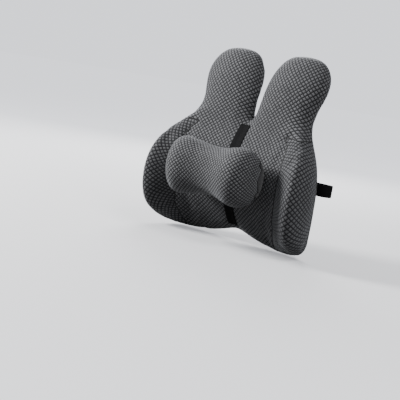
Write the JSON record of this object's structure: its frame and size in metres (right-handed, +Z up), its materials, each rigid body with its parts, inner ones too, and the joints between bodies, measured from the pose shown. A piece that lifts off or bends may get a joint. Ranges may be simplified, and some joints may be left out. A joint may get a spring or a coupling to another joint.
{
  "type": "strap-on back support cushion",
  "caption": "Cupped foam back cushion with two upright lobes, a bone-shaped lumbar pillow that slides on a centre strap, and a buckled strap that goes round a chair back.",
  "frame": {"origin": "on the flat back of the cushion in the middle, 160 mm above the bottom of the wings, where it leans on the chair", "axes": "+X to the right as seen from the front, -Y towards the sitter, +Z up towards the two lobes"},
  "size_m": [0.4086, 0.2341, 0.4124],
  "materials": {
    "foam_core": "open-cell foam, matt",
    "front_panel": "charcoal spacer mesh in a diamond lattice",
    "side_panel_left": "charcoal spacer mesh in a diamond lattice",
    "side_panel_right": "charcoal spacer mesh in a diamond lattice",
    "back_panel_upper": "plain dark fabric",
    "back_panel_lower": "plain dark fabric",
    "spine_strap": "matt black woven webbing",
    "anchor_patch_left": "matt black woven webbing",
    "anchor_patch_right": "matt black woven webbing",
    "zip_tape_upper": "matt black woven webbing",
    "zip_tape_lower": "matt black woven webbing",
    "zip_teeth": "matt black woven webbing",
    "zip_stop_left": "dark enamel",
    "zip_stop_right": "dark enamel",
    "zip_slider": "dark enamel",
    "zip_pull": "dark enamel",
    "pillow_foam": "open-cell foam, matt",
    "pillow_cover_front": "charcoal spacer mesh in a diamond lattice",
    "pillow_cover_back": "plain dark fabric",
    "pillow_sleeve": "matt black woven webbing",
    "chair_strap_right": "matt black woven webbing",
    "chair_strap_left": "matt black woven webbing",
    "strap_tail": "matt black woven webbing",
    "buckle_socket": "black, finely textured",
    "buckle_plug": "black, finely textured",
    "buckle_prong_upper": "black, finely textured",
    "buckle_prong_lower": "black, finely textured",
    "strap_adjuster": "black, finely textured",
    "strap_keeper": "matt black woven webbing"
  },
  "bodies": {
    "cushion": {"foam_core": "foam_core", "front_panel": "front_panel", "side_panel_left": "side_panel_left", "side_panel_right": "side_panel_right", "back_panel_upper": "back_panel_upper", "back_panel_lower": "back_panel_lower", "spine_strap": "spine_strap", "anchor_patch_left": "anchor_patch_left", "anchor_patch_right": "anchor_patch_right", "zip_tape_upper": "zip_tape_upper", "zip_tape_lower": "zip_tape_lower", "zip_teeth": "zip_teeth", "zip_stop_left": "zip_stop_left", "zip_stop_right": "zip_stop_right", "chair_strap_right": "chair_strap_right", "chair_strap_left": "chair_strap_left", "buckle_socket": "buckle_socket", "strap_adjuster": "strap_adjuster"},
    "pillow": {"pillow_foam": "pillow_foam", "pillow_cover_front": "pillow_cover_front", "pillow_cover_back": "pillow_cover_back", "pillow_sleeve": "pillow_sleeve"},
    "plug": {"buckle_plug": "buckle_plug", "strap_tail": "strap_tail"},
    "prong_upper": {"buckle_prong_upper": "buckle_prong_upper"},
    "prong_lower": {"buckle_prong_lower": "buckle_prong_lower"},
    "keeper": {"strap_keeper": "strap_keeper"},
    "slider": {"zip_slider": "zip_slider"},
    "pull": {"zip_pull": "zip_pull"}
  },
  "joints": [
    {"name": "pillow_slide", "type": "slide", "parent": "cushion", "child": "pillow", "axis": [0, 0, 1], "range_m": [-0.02, 0.02]},
    {"name": "buckle_slide", "type": "slide", "parent": "cushion", "child": "plug", "axis": [1, 0, 0], "range_m": [0, 0.028]},
    {"name": "prong_upper_squeeze", "type": "hinge", "parent": "plug", "child": "prong_upper", "pos_m": [0.0031, 0.0369, -0.0091], "axis": [0, 1, 0], "range_deg": [-6, 0], "stiffness_Nm_per_rad": 0.4},
    {"name": "prong_lower_squeeze", "type": "hinge", "parent": "plug", "child": "prong_lower", "pos_m": [0.0031, 0.0369, -0.0269], "axis": [0, 1, 0], "range_deg": [0, 6], "stiffness_Nm_per_rad": 0.4},
    {"name": "keeper_slide", "type": "slide", "parent": "cushion", "child": "keeper", "axis": [1, 0, 0], "range_m": [-0.012, 0.012]},
    {"name": "zip_slide", "type": "slide", "parent": "cushion", "child": "slider", "axis": [1, 0, 0], "range_m": [-0.152, 0]},
    {"name": "zip_pull_swing", "type": "hinge", "parent": "slider", "child": "pull", "pos_m": [0.076, 0.0031, -0.07], "axis": [1, 0, 0], "range_deg": [0, 160]}
  ]
}
